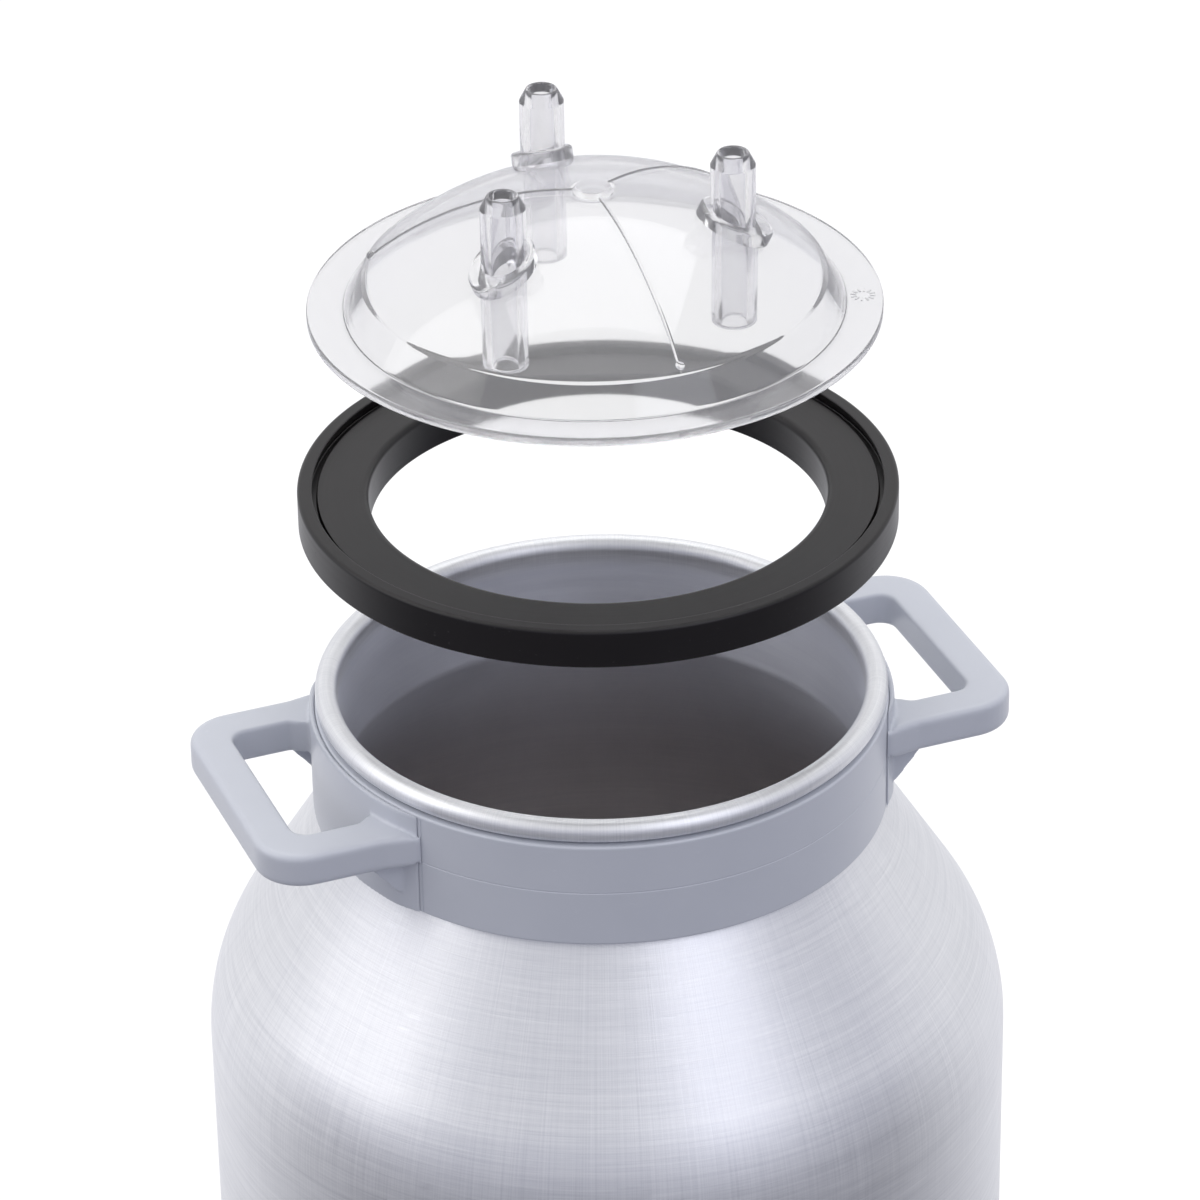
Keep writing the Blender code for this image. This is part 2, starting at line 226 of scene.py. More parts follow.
class Wire:
    """A value in a node tree. Sums, products and other maths on it add Math nodes."""

    def __init__(self, tree, socket=None):
        self.tree = tree
        self.socket = socket

    def add(self, kind, sockets=None, output=0, stops=None, **settings):
        """A new node with these settings, ramp stops and sockets, as the wire of its output."""
        node = self.tree.nodes.new(kind)
        for name, value in settings.items():
            setattr(node, name, value)
        if stops:
            ramp = node.color_ramp.elements
            while len(ramp) < len(stops):
                ramp.new(1.0)
            for element, (position, colour) in zip(ramp, stops):
                element.position = position
                element.color = (*colour, 1.0)
        for key, value in (sockets or {}).items():
            if isinstance(value, Wire):
                self.tree.links.new(value.socket, node.inputs[key])
            else:
                node.inputs[key].default_value = value
        return Wire(self.tree, node.outputs[output])

    def other(self, output):
        """Another output of the node that this wire comes from."""
        return Wire(self.tree, self.socket.node.outputs[output])

    def maths(self, operation, *values):
        """One Math node on these values."""
        return self.add("ShaderNodeMath", dict(enumerate(values)), operation=operation)

    def __add__(self, value):
        return self.maths("ADD", self, value)

    __radd__ = __add__

    def __mul__(self, value):
        return self.maths("MULTIPLY", self, value)

    __rmul__ = __mul__

    def __sub__(self, value):
        return self.maths("SUBTRACT", self, value)

    def __rsub__(self, value):
        return self.maths("SUBTRACT", value, self)

    def __truediv__(self, value):
        return self.maths("DIVIDE", self, value)

    def __pow__(self, value):
        return self.maths("POWER", self, value)

    def ramp(self, low, high, start=0.0, end=1.0):
        """This value taken smoothly from start at low to end at high."""
        sockets = {"Value": self, "From Min": low, "From Max": high, "To Min": start, "To Max": end}
        return self.add("ShaderNodeMapRange", sockets, interpolation_type="SMOOTHSTEP")

    def vector(self, x, y, z):
        """Three values as one vector."""
        return self.add("ShaderNodeCombineXYZ", {0: x, 1: y, 2: z})

    def noise(self, vector, scale=1.0, detail=3.0, roughness=0.55):
        """Noise from 0 to 1 at this vector."""
        sockets = {"Vector": vector, "Scale": scale, "Detail": detail, "Roughness": roughness}
        return self.add("ShaderNodeTexNoise", sockets)

    def blend(self, factor, first, second):
        """Two colours mixed by the factor."""
        first, second = (c if isinstance(c, Wire) else (*c, 1.0) for c in (first, second))
        return self.add("ShaderNodeMix", {0: factor, 6: first, 7: second}, output=2, data_type="RGBA")

    def bump(self, height, distance, strength=1.0):
        """The normal of a surface with this height."""
        sockets = {"Height": height, "Distance": distance, "Strength": strength}
        return self.add("ShaderNodeBump", sockets)


class Finish(Wire):
    """A material on a Principled shader, with its object's own coordinates ready."""

    def __init__(self, name):
        self.material = bpy.data.materials.new(name)
        self.material.use_nodes = True
        super().__init__(self.material.node_tree)
        self.shader = self.tree.nodes["Principled BSDF"]
        self.place = self.add("ShaderNodeTexCoord").other("Object")
        self.x = self.add("ShaderNodeSeparateXYZ", {0: self.place})
        self.y, self.z = self.x.other(1), self.x.other(2)
        self.radius = (self.x * self.x + self.y * self.y) ** 0.5

    def round_axis(self, along, around):
        """Coordinates for marks turned round the axis: their pitch along it, and their change round it."""
        profile = (self.radius - self.z) * along
        return self.vector(profile, self.x / self.radius * around, self.y / self.radius * around)

    def feed(self, **sockets):
        """Sets or links the shader's sockets, named with underscores for spaces."""
        for name, value in sockets.items():
            socket = self.shader.inputs[name.replace("_", " ")]
            if isinstance(value, Wire):
                self.tree.links.new(value.socket, socket)
            else:
                socket.default_value = value
        return self.material


def spun_aluminium():
    """Bare metal turned on a lathe: rings round the axis, brushing down the shoulder, dull inside, and
    painted shade that turns the inside darker and warmer further down.
    """
    m = Finish("spun_aluminium")
    normal = m.add("ShaderNodeSeparateXYZ", {0: m.add("ShaderNodeNewGeometry").other("Normal")})
    facing_axis = (normal * m.x + normal.other(1) * m.y) / m.radius
    inside = m.maths("LESS_THAN", facing_axis, -0.02)
    low = m.maths("LESS_THAN", m.z, CAN_BOTTOM + 2 * CAN_WALL)
    bottom = low * m.maths("GREATER_THAN", normal.other(2), 0.5)
    inside = m.maths("MAXIMUM", inside, bottom) * m.z.ramp(CAN_TOP - 4 * MM, CAN_TOP - 12 * MM)
    # Painted shade: below the rim, the inside takes the darker, warmer colour the further down it lies
    painted_shade_depth = inside * m.z.ramp(CAN_TOP - 30 * MM, CAN_TOP - 170 * MM)
    fine = m.noise(m.round_axis(FINE_PITCH, 6), detail=4, roughness=0.7)
    rings = m.noise(m.round_axis(RING_PITCH, 1.4), detail=3)
    bands = m.noise(m.round_axis(BAND_PITCH, 1.2), detail=2)
    spokes = m.vector(m.x / m.radius * 230, m.y / m.radius * 230, m.z * 14)
    brushed = m.noise(spokes, detail=4, roughness=0.65)
    shoulder = m.z.ramp(SHOULDER_Z - 60 * MM, SHOULDER_Z) * (1 - inside)
    cloud = m.noise(m.place, scale=22, detail=4)
    scratches = m.noise(m.round_axis(SCRATCH_PITCH, 9), detail=2, roughness=0.3).ramp(0.68, 0.80)
    marks = (fine - 0.5) * 0.75 + (rings - 0.5) * 0.65 + (bands - 0.5) * 0.18
    marks = marks + (brushed - 0.5) * 0.9 * (0.25 + 0.75 * shoulder)
    bright = 0.5 + marks * 1.4
    outer = m.blend(bright, *METAL_OUTSIDE)
    dull = m.blend(bright, *METAL_INSIDE)
    inside_painted_shade = m.blend(bright, *METAL_DEEP_PAINTED_SHADE)
    colour = m.blend(inside, outer, m.blend(painted_shade_depth, dull, inside_painted_shade))
    rough = 0.42 + marks * 0.16 + (cloud - 0.5) * 0.16 + inside * 0.14 - scratches * 0.06
    height = marks + scratches * -0.4
    return m.feed(
        Base_Color=colour,
        Metallic=1.0,
        Roughness=rough,
        Anisotropic=0.65,
        Anisotropic_Rotation=0.25,
        Normal=m.bump(height, 0.05 * MM, 0.8),
    )


def satin_plastic():
    """Moulded blue-grey plastic with a soft sheen, fine flow grain and light handling marks."""
    m = Finish("satin_plastic")
    grain = m.noise(m.place, scale=2600, detail=2)
    flow = m.noise(m.place, scale=38, detail=5, roughness=0.6)
    scuffs = m.noise(m.vector(m.x * 300, m.y * 300, m.z * 900), detail=3).ramp(0.66, 0.78)
    colour = m.blend(flow, *GREY_PLASTIC)
    colour = m.blend(scuffs * 0.25, colour, PLASTIC_SCUFFS)
    rough = 0.33 + (flow - 0.5) * 0.14 + scuffs * 0.12
    return m.feed(
        Base_Color=colour,
        Roughness=rough,
        Specular_IOR_Level=0.5,
        Coat_Weight=0.12 + (flow - 0.5) * 0.1,
        Coat_Roughness=0.22,
        Normal=m.bump(grain + flow * 0.8, 0.02 * MM, 0.5),
    )


def black_rubber():
    """Smooth black rubber with faint mould rings, specks of dust and slightly greyed wear."""
    m = Finish("black_rubber")
    rings = m.noise(m.round_axis(900, 0.8), detail=3)
    grain = m.noise(m.place, scale=1900, detail=3)
    bloom = m.noise(m.place, scale=30, detail=5, roughness=0.6)
    dust = m.noise(m.place, scale=900, detail=1, roughness=0.2).ramp(0.76, 0.82)
    colour = m.blend(bloom, *RUBBER)
    colour = m.blend(dust * 0.2, colour, RUBBER_DUST)
    rough = 0.34 + (bloom - 0.5) * 0.16 + (rings - 0.5) * 0.1 + dust * 0.2
    return m.feed(
        Base_Color=colour,
        Roughness=rough,
        Specular_IOR_Level=0.4,
        Normal=m.bump(rings * 0.6 + grain * 0.5, 0.02 * MM, 0.6),
    )


def clear_plastic(name, clearness, low, high):
    """Clear moulded plastic between two body colours, with slight flow waves and a little haze."""
    m = Finish(name)
    flow = m.noise(m.place, scale=26, detail=2)
    haze = m.noise(m.place, scale=160, detail=4)
    rubbed = m.noise(m.vector(m.x * 500, m.y * 160, m.z * 500), detail=2).ramp(0.68, 0.76)
    edge = m.add("ShaderNodeLayerWeight", {"Blend": 0.35}, output=1)
    colour = m.blend(edge * 0.8, m.blend(haze, low, high), CLEAR_EDGE)
    rough = 0.03 + haze * 0.03 + rubbed * 0.05
    return m.feed(
        Base_Color=colour,
        Roughness=rough,
        IOR=CLEAR_IOR,
        Transmission_Weight=clearness,
        Normal=m.bump(flow, 0.12 * MM, 0.5),
    )


def floor_finish():
    """A white sweep: it reads white behind the object and mirrors as a dim floor in its metal, with
    painted light that makes that floor lighter behind the can than in front.
    """
    m = Finish("white_sweep")
    path = m.add("ShaderNodeLightPath")
    away = studio_point(CAMERA_AZIMUTH + 180, 0, 1, (0, 0, 0))
    # Painted light: the mirrored floor's colour is graded lighter behind the can than in front of it
    behind = (m.x * away.x + m.y * away.y).ramp(-0.3, 0.5)
    m.feed(Base_Color=m.blend(behind, *FLOOR_MIRRORED_PAINTED_LIGHT), Roughness=0.7)
    shadowed = m.add("ShaderNodeBsdfDiffuse", {"Color": (0.9, 0.9, 0.9, 1.0)})
    lit = m.add("ShaderNodeEmission", {"Color": (*WHITE, 1.0), "Strength": FLOOR_GLOW})
    white = m.add("ShaderNodeMixShader", {0: FLOOR_GLOW_SHARE, 1: shadowed, 2: lit})
    plain = Wire(m.tree, m.shader.outputs[0])
    direct = m.add("ShaderNodeMixShader", {0: path, 1: plain, 2: white})
    through = m.add("ShaderNodeEmission", {"Color": (0.95, 0.95, 0.95, 1), "Strength": 1.0})
    seen_through = path.other("Is Transmission Ray")
    both = m.add("ShaderNodeMixShader", {0: seen_through, 1: direct, 2: through})
    m.tree.links.new(both.socket, m.tree.nodes["Material Output"].inputs["Surface"])
    return m.material


def arc(centre, radius, start, end, steps):
    """Points on a circle from the start angle to the end angle, both in degrees."""
    angles = [math.radians(start + (end - start) * i / steps) for i in range(steps + 1)]
    return [(centre[0] + radius * math.cos(a), centre[1] + radius * math.sin(a)) for a in angles]


def rounded(corners, steps=6, closed=True):
    """The outline through (x, y) or (x, y, radius) corners, with an arc of that radius at each."""
    outline = []
    for i, (x, y, *radius) in enumerate(corners):
        at_end = not closed and i in (0, len(corners) - 1)
        if not radius or at_end:
            outline.append((x, y))
            continue
        here = Vector((x, y))
        before = (Vector(corners[i - 1][:2]) - here).normalized()
        after = (Vector(corners[(i + 1) % len(corners)][:2]) - here).normalized()
        half = before.angle(after) / 2
        centre = here + (before + after).normalized() * (radius[0] / math.sin(half))
        first = here + before * (radius[0] / math.tan(half)) - centre
        last = here + after * (radius[0] / math.tan(half)) - centre
        sweep = first.angle_signed(last)
        for k in range(steps + 1):
            outline.append(tuple(centre + Matrix.Rotation(-sweep * k / steps, 2) @ first))
    return outline


def supported(outline, near=SUPPORT_NEAR, span=SUPPORT_SPAN):
    """The outline with a point close to each end of its long stretches, so that flats shade flat."""
    points = []
    for here, after in zip(outline, outline[1:]):
        here, after = Vector(here), Vector(after)
        length = (after - here).length
        points.append(tuple(here))
        if length > SUPPORT_FROM * near:
            parts = math.ceil(length / span)
            between = [near + (length - 2 * near) * k / parts for k in range(parts + 1)]
            points += [tuple(here.lerp(after, at / length)) for at in between]
    return points + [outline[-1]]


def offset_path(points, distance):
    """An open path moved to its left by the distance, keeping its stretches parallel."""
    moved = []
    for i, here in enumerate(points):
        before = Vector(points[max(i - 1, 0)])
        after = Vector(points[min(i + 1, len(points) - 1)])
        here = Vector(here)
        into = (here - before).normalized() if i else (after - here).normalized()
        out = (after - here).normalized() if i < len(points) - 1 else into
        normal = Vector((-into.y - out.y, into.x + out.x)).normalized()
        stretch = normal.dot(Vector((-into.y, into.x)))
        moved.append(tuple(here + normal * (distance / stretch)))
    return moved


def new_tree(name, **inputs):
    """A Geometry Nodes tree with these named inputs, and the wires of those inputs."""
    tree = bpy.data.node_groups.new(name, "GeometryNodeTree")
    for label, kind in inputs.items():
        label = label.replace("_", " ")
        tree.interface.new_socket(label, in_out="INPUT", socket_type="NodeSocket" + kind)
    tree.interface.new_socket("Result", in_out="OUTPUT", socket_type="NodeSocketGeometry")
    begin = tree.nodes.new("NodeGroupInput")
    values = {s.name: Wire(tree, s) for s in begin.outputs if s.name}
    return Wire(tree), values


def close_tree(w, geometry, material):
    """Ends a tree in Realize Instances and Set Material."""
    real = w.add("GeometryNodeRealizeInstances", {0: geometry})
    painted = w.add("GeometryNodeSetMaterial", {"Geometry": real, "Material": material})
    end = w.tree.nodes.new("NodeGroupOutput")
    w.tree.links.new(painted.socket, end.inputs[0])
    return w.tree


def turning_tree():
    """Turns the modifier's own row of (radius, 0, z) points round Z into a closed surface."""
    w, given = new_tree("turned_piece", Profile="Geometry", Steps="Int", Material="Material")
    rows = w.add("GeometryNodeAttributeDomainSize", {0: given["Profile"]})
    columns = given["Steps"] + 1
    grid = w.add("GeometryNodeMeshGrid", {"Vertices X": rows, "Vertices Y": columns})
    index = w.add("GeometryNodeInputIndex")
    row = w.maths("FLOOR", (index + 0.5) / columns)
    angle = (index - row * columns) / given["Steps"] * TAU
    place = w.add("GeometryNodeInputPosition")
    sockets = {"Geometry": given["Profile"], "Value": place, "Index": row}
    point = w.add("GeometryNodeSampleIndex", sockets, data_type="FLOAT_VECTOR")
    radius = w.add("ShaderNodeSeparateXYZ", {0: point})
    x, y = radius * w.maths("COSINE", angle), radius * w.maths("SINE", angle)
    spot = w.vector(x, y, radius.other(2))
    surface = w.add("GeometryNodeSetPosition", {"Geometry": grid, "Position": spot})
    joined = w.add("GeometryNodeMergeByDistance", {"Geometry": surface, "Distance": WELD})
    smooth = w.add("GeometryNodeSetShadeSmooth", {"Geometry": joined})
    return close_tree(w, smooth, given["Material"])


def ribs_tree():
    """Thin ribs that run down a dome from its middle to a small nub, evenly round the axis."""
    w, given = new_tree(
        "dome_ribs", Count="Int", First_Angle="Float", Dome_Radius="Float", Dome_Centre="Float",
        Start_Radius="Float", End_Radius="Float", Width="Float", Height="Float", Nub="Float",
        Material="Material",
    )
    line = w.add("GeometryNodeCurvePrimitiveLine")
    fine = w.add("GeometryNodeResampleCurve", {"Curve": line, "Count": 40})
    share = w.add("GeometryNodeSplineParameter")

    def on_dome(out):
        up = (given["Dome Radius"] * given["Dome Radius"] - out * out) ** 0.5 + given["Dome Centre"]
        return w.vector(out, 0.0, up)

    out = given["Start Radius"] + (given["End Radius"] - given["Start Radius"]) * share
    path = w.add("GeometryNodeSetPosition", {"Geometry": fine, "Position": on_dome(out)})
    circle = w.add("GeometryNodeCurvePrimitiveCircle", {"Resolution": 12, "Radius": 1.0})
    size = w.vector(given["Height"], given["Width"] * 0.5, 1.0)
    section = w.add("GeometryNodeTransform", {"Geometry": circle, "Scale": size})
    sockets = {"Curve": path, "Profile Curve": section, "Fill Caps": True}
    rib = w.add("GeometryNodeCurveToMesh", sockets)
    ball = w.add("GeometryNodeMeshUVSphere", {"Segments": 20, "Rings": 12, "Radius": given["Nub"]})
    sockets = {"Geometry": ball, "Translation": on_dome(given["End Radius"])}
    nub = w.add("GeometryNodeTransform", sockets)
    spots = w.add("GeometryNodePoints", {"Count": given["Count"]})
    turn = given["First Angle"] + w.add("GeometryNodeInputIndex") * TAU / given["Count"]
    whole = w.add("GeometryNodeMeshBoolean", operation="UNION", solver="EXACT")
    for part in (rib, nub):
        w.tree.links.new(part.socket, whole.socket.node.inputs["Mesh 2"])
    sockets = {"Points": spots, "Instance": whole, "Rotation": w.vector(0.0, 0.0, turn)}
    ribs = w.add("GeometryNodeInstanceOnPoints", sockets)
    return close_tree(w, ribs, given["Material"])


def tick_ring_tree():
    """Small raised ticks in a ring round a point."""
    w, given = new_tree(
        "tick_ring", Count="Int", Ring_Radius="Float", Centre="Vector", Tick_Length="Float",
        Tick_Width="Float", Tick_Height="Float", Material="Material",
    )
    size = w.vector(given["Tick Length"], given["Tick Width"], given["Tick Height"])
    tick = w.add("GeometryNodeMeshCube", {"Size": size})
    share = w.add("GeometryNodeInputIndex") * TAU / given["Count"]
    reach = given["Ring Radius"]
    spot = w.vector(reach * w.maths("COSINE", share), reach * w.maths("SINE", share), 0.0)
    place = w.add("ShaderNodeVectorMath", {0: spot, 1: given["Centre"]}, operation="ADD")
    points = w.add("GeometryNodePoints", {"Count": given["Count"], "Position": place})
    sockets = {"Points": points, "Instance": tick, "Rotation": w.vector(0.0, 0.0, share)}
    ticks = w.add("GeometryNodeInstanceOnPoints", sockets)
    return close_tree(w, ticks, given["Material"])


def plain_mesh(obj):
    """Takes the object's modifiers into its mesh."""
    bpy.context.view_layer.update()
    graph = bpy.context.evaluated_depsgraph_get()
    mesh = bpy.data.meshes.new_from_object(obj.evaluated_get(graph))
    obj.modifiers.clear()
    obj.data = mesh
    mesh.name = obj.name
    return obj


def new_object(name, mesh):
    """An object with this data, linked to the scene."""
    obj = bpy.data.objects.new(name, mesh)
    bpy.context.scene.collection.objects.link(obj)
    return obj


def grown(name, tree, mesh=None, **inputs):
    """A plain mesh object made by the tree from these inputs, with its faces outwards."""
    obj = new_object(name, mesh or bpy.data.meshes.new(name))
    modifier = obj.modifiers.new("grow", "NODES")
    modifier.node_group = tree
    for socket in tree.interface.items_tree:
        key = socket.name.replace(" ", "_")
        if socket.in_out == "INPUT" and key in inputs:
            modifier[socket.identifier] = inputs[key]
    plain_mesh(obj)
    face_out(obj.data)
    return obj


def face_out(mesh):
    """Welds the mesh and turns its faces outwards."""
    shape = bmesh.new()
    shape.from_mesh(mesh)
    bmesh.ops.remove_doubles(shape, verts=shape.verts, dist=WELD)
    bmesh.ops.recalc_face_normals(shape, faces=shape.faces)
    shape.to_mesh(mesh)
    shape.free()


def turned(name, tree, profile, material, steps=RING_STEPS):
    """A turned piece from (radius, z) points that run round or down its section."""
    mesh = bpy.data.meshes.new(name)
    edges = [(i, i + 1) for i in range(len(profile) - 1)]
    mesh.from_pydata([(r, 0, z) for r, z in profile], edges, [])
    return grown(name, tree, mesh, Steps=steps, Material=material)


def solid_outline(outline, thickness, outer_edge=0.0, inner_edge=0.0, is_inner=lambda x, y: False):
    """A flat outline as a solid centred on z = 0, its rim rounded by one of the two edge sizes."""
    shape = bmesh.new()
    low = [shape.verts.new((x, y, -thickness / 2)) for x, y in outline]
    high = [shape.verts.new((x, y, thickness / 2)) for x, y in outline]
    count = len(outline)
    shape.faces.new(high)
    shape.faces.new(low[::-1])
    for i in range(count):
        shape.faces.new((low[i], low[(i + 1) % count], high[(i + 1) % count], high[i]))
    bmesh.ops.recalc_face_normals(shape, faces=shape.faces)
    for wanted, width in ((False, outer_edge), (True, inner_edge)):
        rims = [
            e for e in shape.edges
            if abs(e.verts[0].co.z - e.verts[1].co.z) < WELD
            and abs(abs(e.verts[0].co.z) - thickness / 2) < WELD
            and any(abs(f.normal.z) < 0.01 for f in e.link_faces)
            and is_inner(*((e.verts[0].co + e.verts[1].co) / 2)[:2]) == wanted
        ]
        if width and rims:
            bmesh.ops.bevel(
                shape, geom=rims, offset=width, segments=5, profile=0.5, affect="EDGES"
            )
    mesh = bpy.data.meshes.new("solid")
    shape.to_mesh(mesh)
    shape.free()
    return mesh


def make_can(tree, material):
    """The can in one turned sheet: bead, neck, shoulder, straight side and bottom."""
    bead_centre = (NECK_RADIUS - CAN_WALL + BEAD_RADIUS, CAN_TOP - BEAD_RADIUS)
    wall = rounded(
        [
            (NECK_RADIUS, CAN_TOP - 2 * BEAD_RADIUS),
            (NECK_RADIUS, NECK_FOOT_Z, NECK_BEND),
            (CAN_RADIUS, SHOULDER_Z, SHOULDER_ROUNDING),
            (CAN_RADIUS, CAN_BOTTOM, CAN_CORNER),
            (0, CAN_BOTTOM),
        ],
        steps=24,
        closed=False,
    )
    inner = offset_path(wall, -CAN_WALL)
    inner[0] = (inner[0][0], bead_centre[1])
    bead = arc(bead_centre, BEAD_RADIUS, BEAD_START, BEAD_END, 40)
    profile = supported(inner[::-1] + bead[1:] + wall[1:], span=CAN_SPAN)
    return turned("can_spun_shell", tree, profile, material, CAN_STEPS)


def make_base_ring(tree, material):
    """The ring that the can's rounded bottom edge sits in."""
    corner = (CAN_RADIUS - CAN_CORNER, CAN_BOTTOM + CAN_CORNER)
    radius = CAN_CORNER + GAP
    reach = math.degrees(math.asin((corner[1] - RING_HEIGHT) / radius))
    seat = arc(corner, radius, -90, -reach, 16)
    profile = rounded(
        [
            (RING_RADIUS, RING_HEIGHT, 0.6 * MM),
            (RING_RADIUS, 0, 2 * MM),
            (RING_INNER, 0, 1.2 * MM),
            (RING_INNER, CAN_BOTTOM - GAP, 0.8 * MM),
            *seat,
        ]
    )
    return turned("base_ring_moulding", tree, supported(profile + profile[:1]), material)


def make_collar(tree, material):
    """The band round the neck, with a fine moulding seam and a foot that follows the shoulder."""
    slope = (CAN_RADIUS - NECK_RADIUS) / (SHOULDER_Z - NECK_FOOT_Z)
    inner = NECK_RADIUS + GAP
    tilt = math.atan(-1 / slope)
    knee_z = NECK_FOOT_Z + GAP * math.tan((math.pi / 2 - tilt) / 2)
    foot = inner + slope * (COLLAR_BOTTOM - knee_z)
    profile = rounded(
        [
            (COLLAR_RADIUS, COLLAR_TOP, 0.9 * MM),
            (COLLAR_RADIUS, SEAM_Z + SEAM_HALF_WIDTH, 0.1 * MM),
            (COLLAR_RADIUS - SEAM_DEPTH, SEAM_Z, 0.1 * MM),
            (COLLAR_RADIUS, SEAM_Z - SEAM_HALF_WIDTH, 0.1 * MM),
            (COLLAR_RADIUS, COLLAR_BOTTOM, 1.0 * MM),
            (foot, COLLAR_BOTTOM, 0.15 * MM),
            (inner, knee_z, 0.5 * MM),
            (inner, COLLAR_TOP, 0.5 * MM),
        ]
    )
    return turned("neck_collar_moulding", tree, supported(profile + profile[:1]), material)


def loop_outline():
    """The handle's U, with its two roots inside the saddle."""
    root_radius = COLLAR_RADIUS + GAP + 0.7 * SADDLE_THICKNESS

    def root(y):
        return (math.sqrt(root_radius**2 - y**2), y)

    flare_x = root(LEG_INNER)[0] + LEG_FLARE
    outer = [(flare_x, LEG_OUTER, 10 * MM), (GRIP_OUTER, LEG_OUTER, 17 * MM)]
    inner = [(GRIP_INNER, LEG_INNER, 6 * MM), (flare_x + LEG_FLARE, LEG_INNER, LEG_FLARE)]
    half = [root(LEG_OUTER + ROOT_FLARE), *outer]
    back = [*inner, root(LEG_INNER - LEG_FLARE)]

    def mirrored(corners):
        return [(x, -y, *radius) for x, y, *radius in reversed(corners)]

    return rounded(half + mirrored(half) + mirrored(back) + back, steps=10)


def saddle_outline():
    """The saddle's section round the collar, thinner towards its two ends."""
    near = COLLAR_RADIUS + SADDLE_GAP
    outer = []
    for i in range(SADDLE_STEPS + 1):
        angle = SADDLE_HALF_ANGLE * (2 * i / SADDLE_STEPS - 1)
        share = min(1, (SADDLE_HALF_ANGLE - abs(angle)) / SADDLE_TAPER)
        swell = (SADDLE_THICKNESS - SADDLE_EDGE) * share * share * (3 - 2 * share)
        radius = near + SADDLE_EDGE + swell
        turn = math.radians(angle)
        outer.append((radius * math.cos(turn), radius * math.sin(turn)))
    return outer + arc((0, 0), near, SADDLE_HALF_ANGLE, -SADDLE_HALF_ANGLE, SADDLE_STEPS)


def make_handle(name, turn, material):
    """One loop handle: saddle, loop and gussets grown into one another with soft fillets."""
    near = COLLAR_RADIUS + SADDLE_GAP
    saddle = solid_outline(saddle_outline(), COLLAR_TOP - COLLAR_BOTTOM, SADDLE_ROUNDING)
    saddle.transform(Matrix.Translation((0, 0, (COLLAR_TOP + COLLAR_BOTTOM) / 2)))

    def in_window(x, y):
        return abs(y) < LEG_INNER + 0.1 * MM and x < GRIP_INNER + 0.1 * MM

    loop = solid_outline(
        loop_outline(), HANDLE_THICKNESS, HANDLE_ROUNDING, WINDOW_ROUNDING, in_window
    )
    loop.transform(Matrix.Translation((0, 0, HANDLE_TOP - HANDLE_THICKNESS / 2)))
    under = HANDLE_TOP - HANDLE_THICKNESS
    middle = (LEG_OUTER + LEG_INNER) / 2
    root = math.sqrt((near + SADDLE_THICKNESS / 2) ** 2 - middle**2)
    web_outline = [
        (root, under + 2 * MM),
        (root, under - GUSSET_DROP),
        (root + 1 * MM, under - GUSSET_DROP),
        (root + GUSSET_REACH, under),
        (root + GUSSET_REACH, under + 2 * MM),
    ]
    gusset = solid_outline(web_outline, GUSSET_THICKNESS)
    gusset.transform(Matrix.Rotation(math.pi / 2, 4, "X"))
    whole = bmesh.new()
    whole.from_mesh(saddle)
    whole.from_mesh(loop)
    for sign in (1, -1):
        web = gusset.copy()
        web.transform(Matrix.Translation((0, sign * middle, 0)))
        whole.from_mesh(web)
    mesh = bpy.data.meshes.new(name)
    whole.to_mesh(mesh)
    whole.free()
    obj = new_object(name, mesh)
    remesh = obj.modifiers.new("grow_together", "REMESH")
    remesh.mode = "VOXEL"
    remesh.voxel_size = HANDLE_GRAIN
    remesh.use_smooth_shade = True
    soften = obj.modifiers.new("soften", "SMOOTH")
    soften.factor = 0.5
    soften.iterations = 5
    plain_mesh(obj)
    obj.data.transform(Matrix.Rotation(turn, 4, "Z"))
    obj.data.materials.clear()
    obj.data.materials.append(material)
    return obj


def make_gasket(tree, material):
    """The ring with a raised lip, a grooved seat, a skirt over the bead and a plug in the mouth."""
    foot = GASKET_BOTTOM
    bead_z = foot + PLUG_DEPTH
    skirt = NECK_RADIUS - CAN_WALL + 2 * BEAD_RADIUS + BEAD_EASE
    plug = NECK_RADIUS - CAN_WALL - BEAD_EASE
    profile = rounded(
        [
            (LIP_INNER, GASKET_TOP, 0.45 * MM),
            (GASKET_RADIUS, GASKET_TOP, 1.3 * MM),
            (GASKET_RADIUS, bead_z - SKIRT_DEPTH, 0.7 * MM),
            (skirt, bead_z - SKIRT_DEPTH, 0.4 * MM),
            (skirt, bead_z + GAP, 0.6 * MM),
            (plug, bead_z + GAP, 0.3 * MM),
            (plug, foot, 1.2 * MM),
            (GASKET_BORE, foot, 0.8 * MM),
            (GASKET_BORE, GASKET_SEAT, 2.2 * MM),
            (GROOVE_INNER, GASKET_SEAT, 0.35 * MM),
            (GROOVE_INNER, GROOVE_FLOOR, 0.4 * MM),
            (GROOVE_OUTER, GROOVE_FLOOR, 0.5 * MM),
        ]
    )
    return turned("gasket_ring", tree, supported(profile + profile[:1]), material)


def dome_line(radius, start_radius, end_radius, steps):
    """Points on the dome's sphere from one radius to another."""
    first, last = math.asin(start_radius / radius), math.asin(end_radius / radius)
    angles = [first + (last - first) * i / steps for i in range(steps + 1)]
    return [(radius * math.sin(a), DOME_CENTRE + radius * math.cos(a)) for a in angles]


